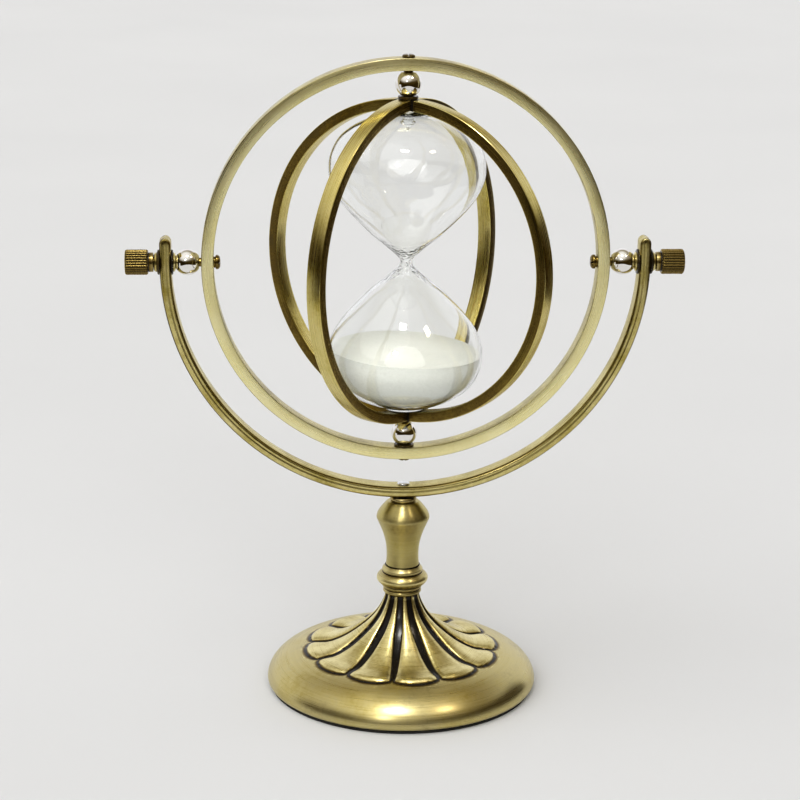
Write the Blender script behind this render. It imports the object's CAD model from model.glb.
# Desk hourglass in a double gimbal: its looks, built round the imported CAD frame. Metres, +Z up.
# Sizes of pieces are written in millimetres and made metres where a mesh is filled in.
import math

import bmesh
import bpy
import numpy as np
from mathutils import Euler, Matrix


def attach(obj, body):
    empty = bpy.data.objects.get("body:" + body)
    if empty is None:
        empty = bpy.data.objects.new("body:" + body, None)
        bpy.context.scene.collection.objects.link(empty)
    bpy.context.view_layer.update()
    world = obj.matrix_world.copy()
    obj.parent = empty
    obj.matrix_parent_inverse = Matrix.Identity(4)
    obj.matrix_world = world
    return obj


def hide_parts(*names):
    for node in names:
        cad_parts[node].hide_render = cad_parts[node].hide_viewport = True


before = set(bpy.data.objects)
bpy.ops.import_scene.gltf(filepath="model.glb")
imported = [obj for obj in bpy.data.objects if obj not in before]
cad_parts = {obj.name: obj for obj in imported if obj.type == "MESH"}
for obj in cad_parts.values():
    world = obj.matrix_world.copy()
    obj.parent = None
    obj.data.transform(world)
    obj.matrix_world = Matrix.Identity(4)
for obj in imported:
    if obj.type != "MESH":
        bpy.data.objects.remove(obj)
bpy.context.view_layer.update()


# ---------- foam pad ----------
# A disc of thin black foam glued over the hollow underside of the foot, so that the brass doesn't
# scratch the table. Die-cut from sheet: flat faces, a sharp edge and an open-celled surface.

MM = 0.001


def put(name, data):
    """A new object in the scene that holds a mesh, a light or a camera."""
    holder = bpy.data.objects.new(name, data)
    bpy.context.scene.collection.objects.link(holder)
    return holder


def skin(name, points, across, patina=-1.0, sharp=35.0):
    """A surface over a grid of points in millimetres, with its rows one after another along the grain and
    its columns across it. Every cell is one four-sided face; points that fall together are merged, which
    closes seams and poles. The UV map "grain" holds the share of the way along and the distance across
    in metres, and the attribute "patina" a value at each point for the finish to use."""
    rows, columns = points.shape[:2]
    number = np.arange(rows * columns).reshape(rows, columns)
    cells = np.stack([number[:-1, :-1], number[1:, :-1], number[1:, 1:], number[:-1, 1:]], -1).reshape(-1, 4)
    mesh = bpy.data.meshes.new(name)
    mesh.from_pydata((points.reshape(-1, 3) * MM).tolist(), [], cells.tolist())
    along = np.linspace(0, 1, rows)[:, None] + np.zeros(columns)
    grain = np.stack([along, np.broadcast_to(across, (rows, columns)) * MM], -1).reshape(-1, 2)
    layer = mesh.uv_layers.new(name="grain")
    layer.data.foreach_set("uv", grain[cells.ravel()].astype(np.float32).ravel())
    spread = np.broadcast_to(patina, (rows, columns)).astype(np.float32)
    mesh.attributes.new("patina", "FLOAT", "POINT").data.foreach_set("value", spread.ravel())
    work = bmesh.new()
    work.from_mesh(mesh)
    bmesh.ops.remove_doubles(work, verts=work.verts, dist=1e-6)
    bmesh.ops.recalc_face_normals(work, faces=work.faces)
    work.to_mesh(mesh)
    work.free()
    mesh.shade_smooth()
    mesh.set_sharp_from_angle(angle=math.radians(sharp))
    return put(name, mesh)


def rounded(corners, reach, steps=5):
    """A polygon whose corners are eased: each is a parabola that starts and ends that reach away along
    its two sides, or half way along a side that is too short."""
    p = np.array(corners, float)
    back, on = np.roll(p, 1, 0) - p, np.roll(p, -1, 0) - p
    back_length = np.linalg.norm(back, axis=1, keepdims=True)
    on_length = np.linalg.norm(on, axis=1, keepdims=True)
    reach = np.broadcast_to(np.asarray(reach, float), len(p))[:, None]
    start = p + back / back_length * np.minimum(reach, back_length * 0.5)
    end = p + on / on_length * np.minimum(reach, on_length * 0.5)
    s = np.linspace(0, 1, steps)[:, None, None]
    curve = (1 - s) ** 2 * start + 2 * s * (1 - s) * p + s**2 * end
    return curve.transpose(1, 0, 2).reshape(-1, 2)


def closed(line):
    """A line of points with its first point repeated at the end."""
    return np.vstack([line, line[:1]])


def lengths(line):
    """Distance along a line of points, from its first point to each."""
    return np.concatenate([[0], np.cumsum(np.linalg.norm(np.diff(line, axis=0), axis=1))])


FACING = {
    "up": np.eye(3),
    "down": np.diag([1.0, -1.0, -1.0]),
    "right": np.array([[0, 0, 1.0], [0, 1, 0], [-1, 0, 0]]),
    "left": np.array([[0, 0, -1.0], [0, 1, 0], [1, 0, 0]]),
}


def about_axis(radius, height, turn, facing="up", centre=0.0):
    """Points at a radius from an axis and a height along it, at each turn round it, for an axis that faces
    up, down, right or left from a centre at that height on the Z axis."""
    x, y = radius * np.cos(turn), radius * np.sin(turn)
    return np.stack([x, y, height + 0 * x], -1) @ FACING[facing].T + [0, 0, centre]


def turned(name, profile, sides=96, facing="up", centre=0.0, patina=-1.0, sharp=35.0):
    """A piece made on a lathe: the profile of [radius, height] carried once round its axis."""
    profile = np.array(profile, float)
    turn = np.linspace(0, 2 * math.pi, sides + 1)[:, None]
    points = about_axis(profile[:, 0], profile[:, 1], turn, facing, centre)
    return skin(name, points, lengths(profile), patina, sharp)


def wiring(tree):
    """Two short ways to work on a tree of shader nodes: add() makes a node and returns one of its outputs,
    and give() fills a node's inputs, each with a value or with another node's output."""

    def give(node, inputs):
        for key, value in inputs.items():
            if isinstance(value, bpy.types.NodeSocket):
                tree.links.new(value, node.inputs[key])
            else:
                node.inputs[key].default_value = value

    def add(kind, inputs, output=0, **settings):
        node = tree.nodes.new("ShaderNode" + kind)
        for key, value in settings.items():
            setattr(node, key, value)
        give(node, inputs)
        return node.outputs[output]

    return add, give


def blank_finish(name):
    """A new node material with its shader and its wiring."""
    material = bpy.data.materials.new(name)
    material.use_nodes = True
    tree = material.node_tree
    return material, tree.nodes["Principled BSDF"], *wiring(tree)


def settle(piece, finish, slot, body, *nodes):
    """Puts the finish on a piece, and says its slot, the body it moves with and the CAD nodes that it
    stands for."""
    piece.data.materials.append(finish)
    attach(piece, body)
    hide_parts(*nodes)


PAD_R, PAD_H, PAD_EDGE = 61.0, 1.2, 0.15

foam, shader, add, give = blank_finish("black_foam")
place = add("TexCoord", {}, "Object")
cells = add("TexVoronoi", {"Vector": place, "Scale": 1500.0})
blotch = add("TexNoise", {"Vector": place, "Scale": 60.0, "Detail": 3.0})
shade = add("MapRange", {"Value": blotch, "From Min": 0.3, "From Max": 0.7})
colour = add(
    "Mix", {0: shade, 6: (0.010, 0.010, 0.010, 1), 7: (0.028, 0.027, 0.025, 1)}, 2, data_type="RGBA"
)
dents = add("Bump", {"Height": cells, "Strength": 0.6, "Distance": 0.0003})
give(shader, {"Base Color": colour, "Roughness": 0.92, "Normal": dents})

pad_line = rounded([(0, 0), (PAD_R, 0), (PAD_R, PAD_H), (0, PAD_H)], [0, PAD_EDGE, PAD_EDGE, 0], 3)
pad = turned("foam_pad", pad_line, 128)
settle(pad, foam, "foam_pad", "stand", "base_pad")


# ---------- cast foot ----------
# A hollow brass casting: a low dome with twelve petals that run down from the neck and end in
# rounded lips. Dipped black, then brushed round until only the channels between the petals stay black.


def through(points, steps=8):
    """A smooth line through points: between two of them a cubic that leaves and arrives in the direction
    of the points on either side (Catmull-Rom)."""
    p = np.array(points, float)
    q = np.vstack([2 * p[0] - p[1], p, 2 * p[-1] - p[-2]])
    a, b, c, d = (q[i : i + len(p) - 1, None] for i in range(4))
    s = np.linspace(0, 1, steps, endpoint=False)[None, :, None]
    cubic = 2 * b + (c - a) * s + (2 * a - 5 * b + 4 * c - d) * s**2 + (3 * b - 3 * c + d - a) * s**3
    return np.vstack([cubic.reshape(-1, p.shape[1]) / 2, p[-1:]])


def brass(name, bright, deep, roughness, brushing=0.5, fine=120.0, spread=0.55):
    """Brushed antique brass. Long streaks come from noise that is stretched along the grain, and clouds
    from plain noise; brushing is the share of the streaks, fine is how many times narrower the finest
    are than they are long, and spread is how far they smear a highlight. As the patina attribute rises
    the metal first turns brown and is then covered by glossy black."""
    material, shader, add, give = blank_finish(name)
    place = add("TexCoord", {}, "Object")
    grain = add("SeparateXYZ", {"Vector": add("UVMap", {}, uv_map="grain")}, "Y")

    def streaks(density):
        w = add("Math", {0: grain, 1: density}, operation="MULTIPLY")
        inputs = {"Vector": place, "W": w, "Scale": 25.0, "Detail": 2.0, "Roughness": 0.6}
        return add("TexNoise", inputs, noise_dimensions="4D")

    clouds = add("TexNoise", {"Vector": place, "Scale": 60.0, "Detail": 4.0, "Roughness": 0.55})
    specks = add("TexNoise", {"Vector": place, "Scale": 700.0, "Detail": 2.0})
    lines = add("Mix", {0: 0.55, 2: streaks(fine / 4), 3: streaks(fine)})
    mottle = add("Mix", {0: 0.25, 2: clouds, 3: specks})
    both = add("Mix", {0: brushing, 2: mottle, 3: lines})
    tone = add("MapRange", {"Value": both, "From Min": 0.38, "From Max": 0.60})
    metal = add("Mix", {0: tone, 6: (*deep, 1), 7: (*bright, 1)}, 2, data_type="RGBA")
    ragged = add("Math", {0: mottle, 1: 0.5}, operation="SUBTRACT")
    cover = add("Attribute", {}, "Fac", attribute_name="patina")
    edge = add("Math", {0: ragged, 1: 0.5, 2: cover}, operation="MULTIPLY_ADD")
    soft = {"interpolation_type": "SMOOTHSTEP"}
    brown = add("MapRange", {"Value": edge, "From Min": -0.35, "From Max": 0.05}, **soft)
    black = add("MapRange", {"Value": edge, "From Min": -0.05, "From Max": 0.25}, **soft)
    stained = add("Mix", {0: brown, 6: metal, 7: (0.17, 0.115, 0.025, 1)}, 2, data_type="RGBA")
    colour = add("Mix", {0: black, 6: stained, 7: (0.010, 0.008, 0.006, 1)}, 2, data_type="RGBA")
    ends = {"To Min": roughness - 0.07, "To Max": roughness + 0.09}
    dull = add("MapRange", {"Value": lines, "From Min": 0.3, "From Max": 0.7, **ends})
    gloss = add("Mix", {0: black, 2: dull, 3: 0.2})
    bare = add("Math", {0: 1.0, 1: black}, operation="SUBTRACT")
    scratches = add("Bump", {"Height": lines, "Strength": 0.7 * brushing, "Distance": 0.00006})
    tangent = add("Tangent", {}, direction_type="UV_MAP", uv_map="grain")
    give(shader, {"Base Color": colour, "Metallic": bare, "Roughness": gloss, "Normal": scratches})
    give(shader, {"Anisotropic": spread, "Anisotropic Rotation": 0.25, "Tangent": tangent})
    give(shader, {"Specular IOR Level": 0.25})
    return material


def petalled(line, is_outside):
    """The foot's outline carried round its axis, with a pillow for each petal pushed out square to it, and
    the patina at each point. Phase runs from -0.5 to 0.5 across a petal, and the turns crowd towards its
    sides. The tip is half an ellipse across the petal. The pillow falls to the sides as the root of one
    less the cube of the share of the half width, and to the tip as a quarter circle. The patina is high
    in the channels between petals and just past the tips, and fades out over the dome."""
    direction = np.gradient(line, axis=0)
    direction /= np.linalg.norm(direction, axis=1, keepdims=True)
    normal = np.stack([direction[:, 1], -direction[:, 0]], -1)

    step = np.linspace(-0.5, 0.5, PETAL_STEPS + 1)[:-1]
    phase = 0.25 * (2 * step + np.sin(math.pi * step))
    turn = (PETAL_TURN + PETAL_PITCH * (np.arange(PETALS)[:, None] + 0.5 + phase)).ravel()
    turn = np.append(turn, turn[0] + 2 * math.pi)[:, None]
    phase = np.append(np.tile(phase, PETALS), phase[0])[:, None]

    r = line[:, 0]
    channel = np.interp(r, [7, 10, 16, 26, 40], [1.9, 2.3, 3.1, 3.0, 2.0])
    pitch = np.maximum(r, 6) * PETAL_PITCH
    half_petal = 0.5 - channel / 2 / pitch
    tip = TIP_R + TIP_BULGE * np.sqrt(1 - (2 * phase) ** 2 * 0.999)
    crown = np.sqrt(np.clip(1 - (np.abs(phase) / half_petal) ** 3.0, 0, 1))
    lip = 1 - np.clip((tip - r) / LIP_LENGTH, 0, 1)
    height = NECK_PILLOW + PILLOW_GAIN * np.clip((r - PILLOW_START_R) / PILLOW_GROWTH, 0, 1)
    pillow = height * crown * np.sqrt(1 - lip**2) * is_outside
    points = about_axis(r + normal[:, 0] * pillow, line[:, 1] + normal[:, 1] * pillow, turn)

    off_side = (np.abs(phase) - half_petal) * pitch + 0.3
    past_tip = r - tip + 0.25
    cover = np.minimum(np.maximum(off_side, past_tip), 0.35) - 0.75 * np.clip((past_tip - 0.7) / 2.6, 0, 1)
    cover = np.where(past_tip > 3, np.minimum(-0.22, cover + 0.2), cover)
    return points, np.where(is_outside, cover, 0.3)


FOOT_R, WIDEST_Z, DOME_CENTRE_R, DOME_HEIGHT = 62.7, 3.4, 36.5, 14.1
FOOT_LOW_Z, FOOT_TOP_Z, CAVITY_TOP_Z, BORE_R = 1.5, 44.6, 31.5, 3.3
PETALS, PETAL_TURN, PETAL_STEPS = 12, math.radians(-99), 38
PETAL_PITCH = 2 * math.pi / PETALS
TIP_R, TIP_BULGE, LIP_LENGTH = 40.4, 4.2, 2.8
NECK_PILLOW, PILLOW_GAIN, PILLOW_START_R, PILLOW_GROWTH = 0.8, 0.75, 7.5, 10

rise = np.radians(np.linspace(0, 86.7, 40))
dome_r = DOME_CENTRE_R + (FOOT_R - DOME_CENTRE_R) * np.cos(rise)
dome = np.stack([dome_r, WIDEST_Z + DOME_HEIGHT * np.sin(rise)], -1)
flare = through([
    (38.0, 17.48), (35.0, 17.75), (31.0, 19.0), (25.0, 22.1), (19.0, 26.4), (14.8, 30.2), (11.3, 34.4),
    (9.0, 38.6), (7.5, 42.6), (7.2, FOOT_TOP_Z),
])
edge = [(60.6, FOOT_LOW_Z), (61.4, 1.6), (62.1, 2.1), (62.55, 2.8)]
outside = np.vstack([edge, dome[:-1], flare])
inside = np.array([
    (BORE_R, FOOT_TOP_Z), (BORE_R, CAVITY_TOP_Z), (10, CAVITY_TOP_Z), (20, 21), (36, 13.2), (52, 10.4),
    (60, 3.4), (59.6, FOOT_LOW_Z), (60.6, FOOT_LOW_Z),
])
foot_line = np.vstack([outside, inside])
foot_points, foot_patina = petalled(foot_line, np.arange(len(foot_line)) < len(outside))

satin = brass("satin_brass", (0.88, 0.79, 0.43), (0.52, 0.43, 0.16), 0.30, 0.25, 150.0, 0.5)
foot = skin("cast_foot", foot_points, lengths(foot_line), foot_patina, 50.0)
settle(foot, satin, "antique_brass", "stand", "base_foot")


# ---------- bolt and washer inside the foot ----------
# A zinc-plated hexagon bolt and washer pull the stem down on the foot from inside. Bought parts,
# out of sight behind the foam; the CAD solids have their true shape, so they only get the plating.


def plating(name, colour, dim, roughness):
    """Bright plated steel: a metal colour that clouds over slightly, with fine pits."""
    material, shader, add, give = blank_finish(name)
    place = add("TexCoord", {}, "Object")
    clouds = add("TexNoise", {"Vector": place, "Scale": 260.0, "Detail": 3.0})
    pits = add("TexNoise", {"Vector": place, "Scale": 3000.0, "Detail": 2.0})
    tone = add("MapRange", {"Value": clouds, "From Min": 0.35, "From Max": 0.65})
    metal = add("Mix", {0: tone, 6: (*dim, 1), 7: (*colour, 1)}, 2, data_type="RGBA")
    dull = add("MapRange", {"Value": clouds, "To Min": roughness * 1.3, "To Max": roughness * 0.7})
    dents = add("Bump", {"Height": pits, "Strength": 0.08, "Distance": 0.00002})
    give(shader, {"Base Color": metal, "Metallic": 1.0, "Roughness": dull, "Normal": dents})
    return material


zinc = plating("zinc_plate", (0.90, 0.90, 0.91), (0.76, 0.77, 0.79), 0.24)
for hidden in ("stem_bolt", "bolt_washer"):
    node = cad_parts[hidden]
    node.data.materials.clear()
    node.data.materials.append(zinc)


# ---------- collar, stem and neck ring ----------
# Turned brass. The collar is a small bead, a wide bead and a step; the stem swells from a slim waist
# to a bulb with a soft shoulder line; the dark neck ring spaces the arc from the stem.

COLLAR_LOW_Z, COLLAR_TOP_Z, CREASE = 44.9, 58.7, 0.22
STEM_LOW_Z, STEM_TOP_Z = 59.0, 89.6
NECK_LOW_Z, NECK_TOP_Z, SCREW_BORE_R = 89.9, 91.9, 2.3

collar_line = np.vstack([
    [(BORE_R, COLLAR_LOW_Z)],
    through([(8.0, COLLAR_LOW_Z), (8.75, 45.6), (8.9, 46.3), (8.45, 47.2), (8.9, 47.7), (9.25, 48.4),
             (9.1, 49.1)], 6),
    through([(9.3, 49.25), (10.5, 49.9), (11.6, 51.1), (11.9, 52.3), (11.5, 53.5), (10.4, 54.6),
             (9.2, 55.1)], 6),
    through([(9.0, 55.3), (9.35, 55.9), (9.35, 56.8), (8.7, 57.6), (8.2, 58.3), (8.0, COLLAR_TOP_Z)], 6),
    [(BORE_R, COLLAR_TOP_Z), (BORE_R, COLLAR_LOW_Z)],
])
crease_z = np.array([COLLAR_LOW_Z, 47.2, 49.2, 55.25, COLLAR_TOP_Z])
to_crease = np.min(np.abs(collar_line[:, 1:] - crease_z), axis=1)
collar_patina = np.where(to_crease < CREASE, 0.2, -0.13 - to_crease * 0.06)
collar = turned("turned_collar", collar_line, 128, patina=collar_patina)
settle(collar, satin, "antique_brass", "stand", "stem_collar")

stem_line = np.vstack([
    [(BORE_R, STEM_LOW_Z)],
    through([(7.7, STEM_LOW_Z), (7.45, 62.0), (7.45, 65.5), (8.05, 70.2), (9.6, 75.4), (11.55, 80.0),
             (12.25, 82.2), (11.3, 84.8), (9.5, 87.2), (8.1, 88.8), (7.0, STEM_TOP_Z)], 9),
    [(BORE_R, STEM_TOP_Z), (BORE_R, STEM_LOW_Z)],
])
aged = brass("aged_brass", (0.86, 0.77, 0.38), (0.50, 0.42, 0.13), 0.34, 0.2, 150.0, 0.8)
stem = turned("turned_stem", stem_line, 128, patina=-0.19)
settle(stem, aged, "antique_brass", "stand", "stem")

dusk = brass("dark_brass", (0.50, 0.42, 0.21), (0.30, 0.23, 0.09), 0.27, 0.05, 120.0, 0.2)
neck_line = rounded(
    [(SCREW_BORE_R, NECK_LOW_Z), (5.7, NECK_LOW_Z), (6.25, 90.9), (5.7, NECK_TOP_Z),
     (SCREW_BORE_R, NECK_TOP_Z)],
    [0, 0.3, 0.8, 0.3, 0],
)
neck = turned("neck_ring", closed(neck_line), 96)
settle(neck, dusk, "dark_brass", "stand", "stem_neck_ring")


# ---------- meridian arc ----------
# Half a circle of brass bar rolled from strip, with well rounded edges and a fine bead along the middle
# of both faces; its ends run straight up past the pivots and are rounded over. Dipped and brushed.

PIVOT_Z, ARC_R, ARC_T, EAR_RISE = 202.2, 110.0, 5.2, 11.4
ARC_ROWS, ROUND_ROWS, STRAIGHT_ROWS = 161, 8, 4
ARC_MID_R = ARC_R - ARC_T / 2


def half_round(section):
    """A bar's section of [offset from the bar's middle, depth] carried down one ear, round the lower half
    of a circle and up the other ear. At an ear's end the thickness falls as a half circle over the last
    half thickness, and the depth by a tenth, which rounds the end over; a row at one point closes it."""
    dip = np.linspace(math.pi, 2 * math.pi, ARC_ROWS)
    top = EAR_RISE - ARC_T / 2
    over = np.linspace(0, math.pi / 2, ROUND_ROWS + 1)[-2::-1]
    ear_height = np.append(top + ARC_T / 2 * np.sin(over), np.linspace(top, 0, STRAIGHT_ROWS + 2)[1:-1])
    ear_scale = np.append(np.cos(over), np.ones(STRAIGHT_ROWS))
    one = np.ones(len(ear_height))
    out_x = np.concatenate([-one, np.cos(dip), one])
    out_z = np.concatenate([0 * one, np.sin(dip), 0 * one])
    lift = np.concatenate([ear_height, 0 * dip, ear_height[::-1]])[:, None]
    scale = np.concatenate([ear_scale, 0 * dip + 1, ear_scale[::-1]])[:, None]
    reach = ARC_MID_R + section[:, 0] * scale
    depth = section[:, 1] * (0.9 + 0.1 * scale)
    rows = np.stack([out_x[:, None] * reach, depth, PIVOT_Z + lift + out_z[:, None] * reach], -1)
    start, end = (
        np.broadcast_to([side * ARC_MID_R, 0, PIVOT_Z + EAR_RISE], (1, len(section), 3)) for side in (-1, 1)
    )
    return np.concatenate([start, rows, end])


# One face of the bar, from its inner edge to its outer: offset, depth and patina.
arc_face = np.array([
    (-2.60, 3.6, -0.35), (-2.45, 4.3, 0.0), (-2.0, 4.85, -0.15), (-1.4, 5.0, -0.4), (-0.95, 5.0, -0.4),
    (-0.7, 4.92, -0.15), (-0.4, 4.92, -0.2), (-0.15, 5.05, -0.6), (0.15, 5.1, -0.8), (0.45, 5.08, -0.8),
    (0.7, 5.0, -0.5), (0.9, 4.98, -0.5), (1.4, 4.9, -0.45), (1.85, 4.65, -0.2), (2.25, 4.1, 0.15),
    (2.5, 3.5, 0.15), (2.60, 2.8, 0.0), (2.60, 1.5, -0.3),
])
arc_section = closed(np.vstack([arc_face[::-1] * [1, -1, 1], arc_face]))[::-1]
arc_brass = brass("arc_brass", (0.76, 0.67, 0.32), (0.42, 0.34, 0.09), 0.27, 0.2)
arc_across = lengths(arc_section[:, :2])
arc = skin("rolled_arc", half_round(arc_section[:, :2]), arc_across, arc_section[:, 2], 40.0)
settle(arc, arc_brass, "antique_brass", "stand", "meridian_arc")


# ---------- arc screw ----------
# A low zinc-plated pan-headed screw goes down through the arc and the neck ring into the stem.
# Bought part; only its head shows, lying in the bottom of the arc.

ARC_SCREW_TIP_Z, SHANK_R = 80, 2.0

seat = PIVOT_Z - ARC_R + ARC_T + 0.1
screw_line = rounded(
    [(0, ARC_SCREW_TIP_Z), (SHANK_R, ARC_SCREW_TIP_Z), (SHANK_R, seat), (2.9, seat), (2.75, seat + 0.9),
     (0, seat + 1.2)],
    [0, 0.3, 0, 0.1, 0.6, 0],
)
arc_screw = turned("arc_screw_head", screw_line, 64)
settle(arc_screw, zinc, "zinc_plate", "stand", "arc_screw")


# ---------- side pivots ----------
# On each side a slotted screw goes out through the ring, a bright ball, two washers and the arc's ear
# into a knurled thumb nut. The ball is polished nickel, the washers are brushed brass with dark rims, and
# the screw and the nut are brass dipped dark.

BALL_R, BALL_FLAT, SIDE_BALL_AT = 5.9, 5.15, 97.6
NUT_START, NUT_END, KNURL_R, KNURL_DEPTH, RIDGES = 112.7, 125.3, 5.65, 0.6, 28
SLOT_HALF_WIDTH, SLOT_HALF_LENGTH = 0.4, 4
WASHER_RIM_R = 4.3


def ball_line(at):
    """A drilled ball: part of a circle between two flats, and the bore back."""
    turn = math.asin(BALL_FLAT / BALL_R)
    rise = np.linspace(-turn, turn, 41)
    circle = np.stack([BALL_R * np.cos(rise), at + BALL_R * np.sin(rise)], -1)
    bore = [(SCREW_BORE_R, at + BALL_FLAT), (SCREW_BORE_R, at - BALL_FLAT)]
    return closed(np.vstack([circle, bore]))


def slotted(piece, low, high):
    """Cuts a straight slot into a screw's head: a thin box from the low to the high corner is taken away."""
    corners = np.array(np.meshgrid(*zip(low, high), indexing="ij")).reshape(3, -1).T * MM
    faces = [(0, 1, 3, 2), (4, 6, 7, 5), (0, 4, 5, 1), (2, 3, 7, 6), (0, 2, 6, 4), (1, 5, 7, 3)]
    mesh = bpy.data.meshes.new("slot_box")
    mesh.from_pydata(corners.tolist(), [], faces)
    box = put("slot_box", mesh)
    modifier = piece.modifiers.new("slot", "BOOLEAN")
    modifier.operation, modifier.solver, modifier.object = "DIFFERENCE", "EXACT", box
    bpy.context.view_layer.update()
    cut = bpy.data.meshes.new_from_object(piece.evaluated_get(bpy.context.evaluated_depsgraph_get()))
    piece.modifiers.clear()
    piece.data = cut
    bpy.data.objects.remove(box)
    return piece


nickel = plating("polished_nickel", (0.88, 0.86, 0.83), (0.84, 0.82, 0.79), 0.035)

screw_profile = rounded(
    [(0, 82.9), (2.3, 83.1), (3.2, 83.9), (3.25, 85.0), (2.5, 85.15), (2.5, 85.95), (SHANK_R, 85.95),
     (SHANK_R, 121), (0, 121)],
    [0, 0.8, 0.5, 0.25, 0.1, 0, 0, 0.4, 0],
)
inner_washer_line = closed(rounded(
    [(SCREW_BORE_R, 102.85), (3.3, 102.85), (4.1, 103.2), (4.4, 103.9), (5.5, 103.95), (5.7, 104.7),
     (SCREW_BORE_R, 104.7)],
    [0, 0.3, 0.6, 0.2, 0.3, 0.1, 0],
))
outer_washer_line = closed(rounded(
    [(SCREW_BORE_R, 110.1), (5.7, 110.1), (5.5, 110.9), (4.5, 111.0), (4.1, 112.1), (3.5, 112.5),
     (SCREW_BORE_R, 112.5)],
    [0, 0.1, 0.3, 0.2, 0.6, 0.3, 0],
))
nut_line = rounded(
    [(0, 122), (SCREW_BORE_R, 122), (SCREW_BORE_R, NUT_START), (4.35, NUT_START), (4.35, 115.1), (5.2, 115.1),
     (KNURL_R, 115.6), (KNURL_R, 124.7), (5.05, NUT_END), (0, NUT_END - 0.15)],
    [0, 0, 0, 0.3, 0.2, 0.15, 0.2, 0.25, 0.2, 0],
)
# The knurling: its ridges follow the size of a sine round the nut, with dark grooves between them.
knurled = np.clip((nut_line[:, 0] - 5.0) / 0.5, 0, 1) * (nut_line[:, 1] > 115)
nut_turn = np.linspace(0, 2 * math.pi, RIDGES * 8 + 1)[:, None]
ridge = np.abs(np.sin(nut_turn * RIDGES / 2))
nut_radius = nut_line[:, 0] - KNURL_DEPTH * knurled * (1 - ridge) ** 1.2
nut_patina = np.where(knurled > 0.5, np.maximum(0.9 - 2.0 * ridge, -0.08), -0.4) + 0 * nut_radius
neck_dark = (nut_line[:, 1] > 114.2) & (nut_line[:, 1] < 115.3) & (nut_line[:, 0] < 5)
nut_patina = np.where(neck_dark, 0.3, nut_patina)

for side in ("right", "left"):
    sign = 1 if side == "right" else -1
    screw = turned(f"{side}_slotted_screw", screw_profile, 64, side, PIVOT_Z, -0.05)
    box_x = sorted([sign * 82.0, sign * 83.7])
    slot_low = (box_x[0], -SLOT_HALF_LENGTH, PIVOT_Z - SLOT_HALF_WIDTH)
    slotted(screw, slot_low, (box_x[1], SLOT_HALF_LENGTH, PIVOT_Z + SLOT_HALF_WIDTH))
    settle(screw, dusk, "dark_brass", "stand", f"{side}_pivot_screw")
    ball = turned(f"{side}_polished_ball", ball_line(SIDE_BALL_AT), 96, side, PIVOT_Z)
    settle(ball, nickel, "polished_nickel", "stand", f"{side}_ball")
    for shape, where, line in (("cup", "inner", inner_washer_line), ("dome", "outer", outer_washer_line)):
        rim_patina = np.where(line[:, 0] > WASHER_RIM_R, 0.2, -0.5)
        washer = turned(f"{side}_{shape}_washer", line, 72, side, PIVOT_Z, rim_patina)
        settle(washer, satin, "antique_brass", "stand", f"{side}_{where}_washer")
    nut_points = about_axis(nut_radius, nut_line[:, 1], nut_turn, side, PIVOT_Z)
    nut = skin(f"{side}_knurled_nut", nut_points, lengths(nut_line), nut_patina, 28.0)
    settle(nut, dusk, "dark_brass", f"{side}_thumb_nut", f"{side}_thumb_nut")


# ---------- outer ring ----------
# Flat brass bar rolled into a full circle and brazed shut, its faces and rim brushed along the ring
# and its edges just broken. The pivot screws go through it on both sides and at both poles; heads and
# balls cover the holes, so the bar is left whole here.

RING_R, RING_T, RING_W, EDGE = 91.5, 5.5, 8.7, 0.5


def bar_section(outer, thickness, width, bevel):
    """The section of a flat bar as [radius, depth], with eased edges, back to its first point."""
    inner = outer - thickness
    corners = [(inner, -width / 2), (outer, -width / 2), (outer, width / 2), (inner, width / 2)]
    return closed(rounded(corners, bevel, 4))


def hoop(section, turn):
    """A section carried round the Y axis in the XZ plane, at each turn; the turn may differ from point to
    point of the section."""
    radius, depth = section[:, 0], section[:, 1]
    return np.stack([radius * np.cos(turn), depth + 0 * turn, radius * np.sin(turn)], -1)


def full_hoop(section, steps):
    """The hoop that goes all the way round, in that many steps."""
    return hoop(section, np.linspace(0, 2 * math.pi, steps + 1)[:, None])


ring_section = bar_section(RING_R, RING_T, RING_W, EDGE)
ring_brass = brass("ring_brass", (1.0, 0.93, 0.56), (0.88, 0.79, 0.38), 0.28, 0.4)
ring_patina = np.where(np.abs(ring_section[:, 1]) < RING_W / 2 - 0.05, -0.15, -0.6)
ring_points = full_hoop(ring_section, 320) + [0, 0, PIVOT_Z]
ring = skin("brushed_ring", ring_points, lengths(ring_section), ring_patina, 30.0)
settle(ring, ring_brass, "antique_brass", "outer_ring", "outer_ring")


# ---------- pole pivots ----------
# At the top and the bottom a slotted screw goes in through the outer ring and a bright ball to the
# cage. A thin dark washer lies under each ball: on the cage at the top, on the ring at the bottom.

POLE_BALL_AT, POLE_SCREW_TIP, POLE_SEAT = 79.85, 69.4, 91.65

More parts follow.
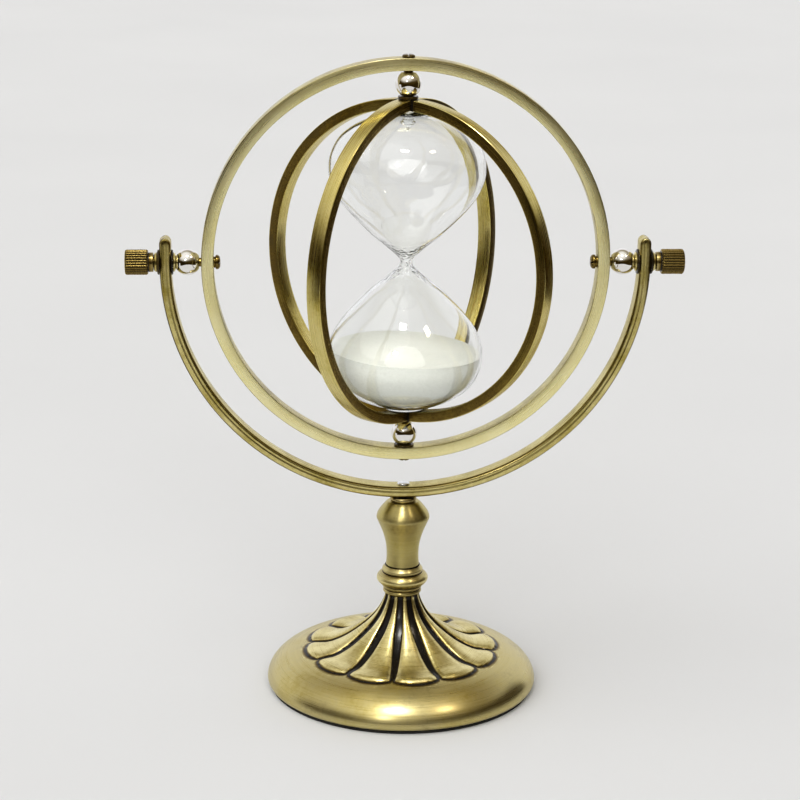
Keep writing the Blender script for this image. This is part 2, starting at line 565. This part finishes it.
pole_screw_line = rounded(
    [(0, POLE_SCREW_TIP), (SHANK_R, POLE_SCREW_TIP), (SHANK_R, POLE_SEAT), (2.9, POLE_SEAT), (2.85, 92.3),
     (2.2, 92.72), (0, 92.75)],
    [0, 0.3, 0, 0.1, 0.3, 0.3, 0],
)
washers = {"top": ("cage", 73.45, 74.5), "bottom": ("outer_ring", 85.1, 85.85)}
for end, facing in (("top", "up"), ("bottom", "down")):
    sign = 1 if end == "top" else -1
    screw = turned(f"{end}_slotted_screw", pole_screw_line, 64, facing, PIVOT_Z, 0.08)
    slot_z = sorted([PIVOT_Z + sign * 92.2, PIVOT_Z + sign * 94])
    slot_low = (-SLOT_HALF_WIDTH, -SLOT_HALF_LENGTH, slot_z[0])
    slotted(screw, slot_low, (SLOT_HALF_WIDTH, SLOT_HALF_LENGTH, slot_z[1]))
    settle(screw, dusk, "dark_brass", "cage", f"{end}_pivot_screw")
    ball = turned(f"{end}_polished_ball", ball_line(POLE_BALL_AT), 96, facing, PIVOT_Z)
    settle(ball, nickel, "polished_nickel", "cage", f"{end}_ball")
    body, low, high = washers[end]
    corners = [(SCREW_BORE_R, low), (4.5, low), (4.5, high), (SCREW_BORE_R, high)]
    line = closed(rounded(corners, [0, 0.2, 0.2, 0], 4))
    washer = turned(f"{end}_dark_washer", line, 64, facing, PIVOT_Z, 0.15)
    settle(washer, dusk, "dark_brass", body, f"{end}_pole_washer")


# ---------- cage ----------
# A full ring and two half rings of the same bar, crossed at the poles and brazed, turned on the pole
# pivots. Rim and inside are brushed bright; the narrow side faces stay darker from the dip.

CAGE_R, CAGE_T, CAGE_W, CAGE_TURN = 73.3, 4.8, 7.0, math.radians(54)
SEAM = 0.12


def spun(points, angle):
    """Points in the rings' plane turned about the Z axis, with the pivots' height added."""
    c, s = math.cos(angle), math.sin(angle)
    return points @ np.array([[c, s, 0], [-s, c, 0], [0, 0, 1]]) + [0, 0, PIVOT_Z]


cage_section = bar_section(CAGE_R, CAGE_T, CAGE_W, EDGE)
cage_across = lengths(cage_section)
cage_brass = brass("cage_brass", (0.76, 0.66, 0.30), (0.46, 0.37, 0.09), 0.26, 0.35)
flat_side = np.abs(cage_section[:, 1]) > CAGE_W / 2 - 0.02
side_patina = np.where(flat_side, 0.02, -0.32)
cage_ring_points = spun(full_hoop(cage_section, 288), CAGE_TURN)
cage_ring = skin("cage_full_ring", cage_ring_points, cage_across, side_patina, 30.0)
settle(cage_ring, cage_brass, "antique_brass", "cage", "cage_ring")

# An arm's section goes from seam to seam, each of its points stopping where the full ring's side is met.
# The rows at each end are close together, so that the dark of the brazing stays narrow.
end_turn = np.arccos((CAGE_W / 2 + SEAM) / cage_section[:, 0])
near_seam = np.array([0.992, 0.994, 1])
along_arm = np.concatenate([-near_seam[::-1], np.linspace(-0.985, 0.985, 155), near_seam])
half_hoop = hoop(cage_section, along_arm[:, None] * end_turn)
caps = [np.broadcast_to(half_hoop[i].mean(0), (1, len(cage_section), 3)) for i in (0, -1)]
half_hoop = np.concatenate([caps[0], half_hoop, caps[1]])
at_seam = np.abs(np.concatenate([[-1], along_arm, [1]])) >= near_seam[0]
arm_patina = np.where(at_seam[:, None], 0.3, side_patina)
for side, quarter in (("right", -math.pi / 2), ("left", math.pi / 2)):
    arm_points = spun(half_hoop, CAGE_TURN + quarter)
    arm = skin(f"cage_{side}_half_ring", arm_points, cage_across, arm_patina, 30.0)
    settle(arm, cage_brass, "antique_brass", "cage", f"cage_half_ring_{side}")


# ---------- glass ----------
# Two blown bulbs of clear glass drawn together to a narrow waist, one closed piece with a filling
# hole at the top. A clear plug stops the hole and a clear pad lies between the glass and the cage.

GLASS_WALL, GLASS_POLE_Z, FILL_HOLE_R = 1.0, 66.8, 3
WAIST_R, WAIST_BORE_R, WAIST_PINCH, PINCH_REACH = 2.7, 1.0, 9.0, 5.5

upper = [
    (3.3, 1.9), (7.0, 5.4), (11.6, 9.3), (16.3, 13.2), (24.0, 21.0), (28.4, 26.2), (31.7, 31.0), (34.3, 37.0),
    (35, 42), (34.2, 48.5), (30.6, 55.6), (24.2, 60.9), (15.5, 64.9), (8, 66.6), (FILL_HOLE_R, GLASS_POLE_Z),
]
lower = [(x, -z) for x, z in upper[::-1]]
outline = through([(0, -GLASS_POLE_Z), *lower, (WAIST_R, 0), *upper])


def inset(line, distance):
    """The line moved inwards square to itself, and never past the waist's bore or the axis."""
    run = np.gradient(line, axis=0)
    run /= np.linalg.norm(run, axis=1, keepdims=True)
    moved = line + distance * np.stack([-run[:, 1], run[:, 0]], -1)
    bore = np.where(np.abs(line[:, 1]) < 60, WAIST_BORE_R, 0.0)
    return np.stack([np.maximum(moved[:, 0], bore), moved[:, 1]], -1)


inner_wall = inset(outline, GLASS_WALL)
inner_wall[0] = (0, -GLASS_POLE_Z + GLASS_WALL)
inner_wall[-1] = (FILL_HOLE_R, GLASS_POLE_Z - GLASS_WALL)
shell = np.vstack([outline, inner_wall[::-1]])


def clear(name, tint, wave, ior=1.5):
    """Clear glass or plastic with faint waves from its making, and with small folds as deep as the patina
    attribute says. Lamp light passes straight through, so that what is inside is lit; the eye still sees
    it bend and reflect."""
    material, shader, add, give = blank_finish(name)
    place = add("TexCoord", {}, "Object")
    swell = add("TexNoise", {"Vector": place, "Scale": 38.0, "Detail": 2.0})
    film = add("TexNoise", {"Vector": place, "Scale": 400.0, "Detail": 3.0})
    folds = add("TexNoise", {"Vector": place, "Scale": 620.0, "Detail": 1.0})
    drawn = add("Attribute", {}, "Fac", attribute_name="patina")
    height = add("Math", {0: folds, 1: drawn, 2: swell}, operation="MULTIPLY_ADD")
    bump = add("Bump", {"Height": height, "Strength": wave, "Distance": 0.0006})
    haze = add("MapRange", {"Value": film, "From Min": 0.5, "From Max": 0.8, "To Min": 0.0, "To Max": 0.05})
    give(shader, {"Base Color": (*tint, 1), "Roughness": haze, "IOR": ior, "Normal": bump})
    give(shader, {"Transmission Weight": 1.0})
    towards_lamp = add("LightPath", {}, "Is Shadow Ray")
    let_past = add("BsdfTransparent", {"Color": (0.96, 0.96, 0.96, 1)})
    both = add("MixShader", {0: towards_lamp, 1: shader.outputs[0], 2: let_past})
    give(material.node_tree.nodes["Material Output"], {"Surface": both})
    return material


clear_glass = clear("clear_glass", (0.985, 0.99, 0.985), 0.2)
pinch = WAIST_PINCH * np.exp(-((shell[:, 1] / PINCH_REACH) ** 2))
bulbs = turned("blown_bulbs", shell, 128, "up", PIVOT_Z, pinch, 60.0)
settle(bulbs, clear_glass, "clear_glass", "cage", "glass_bulbs")

clear_plastic = clear("clear_plastic", (0.93, 0.94, 0.92), 0.2, 1.46)
plug_line = rounded(
    [(0, 59.2), (3.4, 62.6), (3.4, 63.2), (2.5, 63.8), (2.5, 67.0), (9.6, 66.45), (9.8, 67.2), (5, 67.8),
     (0, 68.0)],
    [0, 0.4, 0.2, 0.2, 0.1, 0.2, 0.3, 2.0, 0],
)
plug = turned("clear_plug", plug_line, 64, "up", PIVOT_Z, 0.0)
settle(plug, clear_plastic, "clear_plastic", "cage", "fill_plug")
disc_line = rounded(
    [(0, -68.3), (5, -68.1), (9.8, -67.45), (9.6, -66.5), (5, -67.0), (0, -67.1)], [0, 2, 0.4, 0.3, 2, 0]
)
disc = turned("clear_disc", disc_line, 64, "up", PIVOT_Z, 0.0)
settle(disc, clear_plastic, "clear_plastic", "cage", "bottom_glass_pad")


# ---------- sand ----------
# Fine white sand that fills the lower bulb to its widest part. It has run down from the waist into a
# low mound and lies a little higher on one side.

SAND_LEVEL, SAND_MOUND, SAND_SLOPE, SAND_GAP = -40.5, 1.6, -0.045, 0.05
SAND_STEPS, SHOULDER_Z = 144, -30


def heap(outline):
    """The sand: its sides follow the glass's inner wall up to the rim, and its top goes in from there to
    the axis. The top's height is the level, plus a slope across, plus a mound that falls off as the share
    of the rim's radius to the power 1.6, plus a ripple of crossed sines that dies out at the rim."""
    inside_depth = GLASS_WALL + SAND_GAP
    wall = inset(outline, inside_depth)
    wall = wall[wall[:, 1] < SHOULDER_Z]
    wall[0] = (0, -GLASS_POLE_Z + inside_depth)
    filled = wall[wall[:, 1] < SAND_LEVEL - 3.0]
    turn = np.linspace(0, 2 * math.pi, SAND_STEPS + 1)[:, None]
    level_r = np.interp(SAND_LEVEL, wall[:, 1], wall[:, 0])
    rim_z = SAND_LEVEL + SAND_SLOPE * level_r * np.cos(turn)
    rim_r = np.interp(rim_z, wall[:, 1], wall[:, 0])
    share = np.linspace(1, 0, 49)[1:]
    top_r = rim_r * share
    x, y = top_r * np.cos(turn), top_r * np.sin(turn)
    ripple = 0.07 * np.sin(0.55 * x + 1.0) * np.sin(0.7 * y) * (1 - share**6)
    top_z = SAND_LEVEL + SAND_SLOPE * x + SAND_MOUND * (1 - share**1.6) + ripple
    radius = np.hstack([np.tile(filled[:, 0], (len(turn), 1)), rim_r, top_r])
    height = np.hstack([np.tile(filled[:, 1], (len(turn), 1)), rim_z, top_z])
    return about_axis(radius, height, turn, "up", PIVOT_Z)


white_sand, shader, add, give = blank_finish("white_sand")
place = add("TexCoord", {}, "Object")
grains = add("TexVoronoi", {"Vector": place, "Scale": 2600.0}, "Color")
grain_shade = add("SeparateXYZ", {"Vector": grains}, "X")
drift = add("TexNoise", {"Vector": place, "Scale": 55.0, "Detail": 3.0})
mixed = add("Mix", {0: 0.5, 2: grain_shade, 3: drift})
tone = add("MapRange", {"Value": mixed, "From Min": 0.2, "From Max": 0.8})
colour = add("Mix", {0: tone, 6: (0.56, 0.575, 0.53, 1), 7: (0.65, 0.665, 0.62, 1)}, 2, data_type="RGBA")
bump = add("Bump", {"Height": grain_shade, "Strength": 0.5, "Distance": 0.00025})
give(shader, {"Base Color": colour, "Roughness": 0.85, "Specular IOR Level": 0.3, "Normal": bump})
sand = skin("white_sand", heap(outline), 0.0, -1.0, 60.0)
settle(sand, white_sand, "white_sand", "cage", "sand")


# ---------- table, light and camera ----------
# A sheet of white paper to stand on, lit by a small box in front on the left, a larger box overhead, a
# warm lamp on the right and even light from afar. A dark cloth round the front and sides shows only in
# reflections. Sizes here are in metres.

PAPER_HALF = 5.0
CLOTH_H, CLOTH_SIDE_R, CLOTH_SET_BACK, CLOTH_SPREAD = 0.36, 0.6, 0.7, 0.6
LENS, SENSOR, CAMERA_SHIFT, CAMERA_AT = 103.5, 36.0, -0.0025, (-0.0642, -1.0056, 0.4267)
LOOK_DOWN, LOOK_ASIDE, CAMERA_ROLL = 16, 3.59, 0.7

paper, shader, add, give = blank_finish("white_paper")
place = add("TexCoord", {}, "Object")
fibre = add("TexNoise", {"Vector": place, "Scale": 900.0, "Detail": 3.0})
drift = add("TexNoise", {"Vector": place, "Scale": 3.0, "Detail": 2.0})
tone = add("MapRange", {"Value": drift, "From Min": 0.3, "From Max": 0.7})
colour = add(
    "Mix", {0: tone, 6: (0.700, 0.712, 0.738, 1), 7: (0.718, 0.730, 0.756, 1)}, 2, data_type="RGBA"
)
bump = add("Bump", {"Height": fibre, "Strength": 0.1, "Distance": 0.0001})
give(shader, {"Base Color": colour, "Roughness": 0.8, "Specular IOR Level": 0.2, "Normal": bump})
sheet = bpy.data.meshes.new("table_paper")
paper_corners = [(x * PAPER_HALF, y * PAPER_HALF, 0) for x, y in ((-1, -1), (1, -1), (1, 1), (-1, 1))]
sheet.from_pydata(paper_corners, [], [(0, 1, 2, 3)])
sheet.materials.append(paper)
table = put("table_paper", sheet)


def aim(name, light, at, towards):
    """Puts a light at a point so that it faces another: it turns about Z first and then tilts."""
    holder = put(name, light)
    holder.location = at
    gap = np.array(towards) - np.array(at)
    yaw = math.atan2(gap[1], gap[0]) - math.pi / 2
    pitch = math.atan2(gap[2], math.hypot(gap[0], gap[1])) + math.pi / 2
    holder.rotation_euler = (pitch, 0, yaw)
    return holder


def lamp(name, at, towards, size, power, colour):
    """A soft box at a point, facing another point, that is seen only as highlights on metal and glass."""
    light = bpy.data.lights.new(name, "AREA")
    light.shape, light.size, light.size_y = "RECTANGLE", size[0], size[1]
    light.energy, light.color = power, colour
    aim(name, light, at, towards).visible_diffuse = False


def spread_light(name, at, towards, angle, strength):
    """Even light from far away in one direction, wide enough for soft shadows. It lights the paper and
    the sand and is left out of reflections, which show the soft boxes."""
    light = bpy.data.lights.new(name, "SUN")
    light.angle, light.energy = math.radians(angle), strength
    aim(name, light, at, towards).visible_glossy = False


lamp("flash_box", (-0.55, -1.6, 1.25), (0, 0, 0.2), (0.22, 0.12), 3.0, (1.0, 0.99, 0.97))
lamp("over_box", (-0.15, -0.75, 1.9), (0, 0, 0.1), (0.30, 0.20), 11.0, (1.0, 0.99, 0.97))
lamp("side_lamp", (0.9, -0.65, 1.8), (0, 0, 0.1), (0.22, 0.22), 3.0, (1.0, 0.86, 0.68))
spread_light("room_light", (-1.0, -0.8, 1.5), (0, 0, 0), 70.0, 0.82)
spread_light("fill_light", (-0.1, -1.6, 0.42), (0, 0, 0), 60.0, 1.5)

flag, shader, add, give = blank_finish("dark_cloth")
weave = add("TexNoise", {"Vector": add("TexCoord", {}, "Object"), "Scale": 8.0})
colour = add("Mix", {0: weave, 6: (0.035, 0.022, 0.006, 1), 7: (0.060, 0.040, 0.010, 1)}, 2, data_type="RGBA")
give(shader, {"Base Color": colour, "Roughness": 1.0, "Specular IOR Level": 0.0})
# The cloth stands upright round the front: its distance is that at the sides plus a bell curve of the turn
# from straight ahead.
cloth_turn = np.radians(np.linspace(-158, 32, 39))[:, None]
cloth_z = np.array([0.0, CLOTH_H])
cloth_r = CLOTH_SIDE_R + CLOTH_SET_BACK * np.exp(-(((cloth_turn + math.pi / 2) / CLOTH_SPREAD) ** 2))
cloth_points = about_axis(cloth_r + 0 * cloth_z, cloth_z, cloth_turn)
number = np.arange(cloth_turn.size * 2).reshape(-1, 2)
cells = np.stack([number[:-1, 0], number[1:, 0], number[1:, 1], number[:-1, 1]], -1)
cloth = bpy.data.meshes.new("dark_cloth")
cloth.from_pydata(cloth_points.reshape(-1, 3).tolist(), [], cells.tolist())
cloth.materials.append(flag)
screen = put("dark_cloth", cloth)
screen.visible_camera = screen.visible_diffuse = False
screen.visible_shadow = screen.visible_transmission = False

# The room that the metal and glass reflect: brown low down and paler towards the ceiling, with a patch of
# light on the ceiling over the object and the white paper's glow low down at the back. Looked at
# straight, without a reflection, it is plain pale grey.
world = bpy.data.worlds.new("studio")
bpy.context.scene.world = world
world.use_nodes = True
add, give = wiring(world.node_tree)
soft = {"interpolation_type": "SMOOTHSTEP"}
way = add("TexCoord", {}, "Generated")
backwards = add("SeparateXYZ", {"Vector": way}, "Y")
upwards = add("SeparateXYZ", {"Vector": way}, "Z")
far = add("MapRange", {"Value": backwards, "From Min": -0.1, "From Max": 0.4}, **soft)
falling = {"From Min": 0.5, "From Max": 0.8, "To Min": 1.0, "To Max": 0.0}
low = add("MapRange", {"Value": upwards, **falling}, **soft)
high = add("MapRange", {"Value": upwards, "From Min": 0.25, "From Max": 0.65}, **soft)
to_patch = add("VectorMath", {0: way, 1: (-0.25, -0.30, 0.92)}, "Value", operation="DOT_PRODUCT")
bounce = add("MapRange", {"Value": to_patch, "From Min": 0.5, "From Max": 1.0}, **soft)
glow = add("Math", {0: far, 1: low}, operation="MULTIPLY")
walls = add("Mix", {0: high, 6: (0.055, 0.036, 0.008, 1), 7: (0.30, 0.26, 0.18, 1)}, 2, data_type="RGBA")
ceiling = add("Mix", {0: bounce, 6: walls, 7: (0.90, 0.885, 0.84, 1)}, 2, data_type="RGBA")
room = add("Mix", {0: glow, 6: ceiling, 7: (0.80, 0.80, 0.82, 1)}, 2, data_type="RGBA")
seen = add("LightPath", {}, "Is Camera Ray")
shown = add("Mix", {0: seen, 6: room, 7: (0.74, 0.74, 0.75, 1)}, 2, data_type="RGBA")
give(world.node_tree.nodes["Background"], {"Color": shown})

camera = bpy.data.cameras.new("camera")
camera.lens, camera.sensor_width, camera.shift_x = LENS, SENSOR, CAMERA_SHIFT
holder = put("camera", camera)
holder.location = CAMERA_AT
view = Euler((math.radians(90 - LOOK_DOWN), 0, math.radians(-LOOK_ASIDE))).to_matrix()
holder.rotation_euler = (view @ Matrix.Rotation(math.radians(CAMERA_ROLL), 3, "Z")).to_euler()
bpy.context.scene.camera = holder
bpy.context.scene.view_settings.view_transform = "Standard"
bpy.context.scene.view_settings.look = "Medium High Contrast"
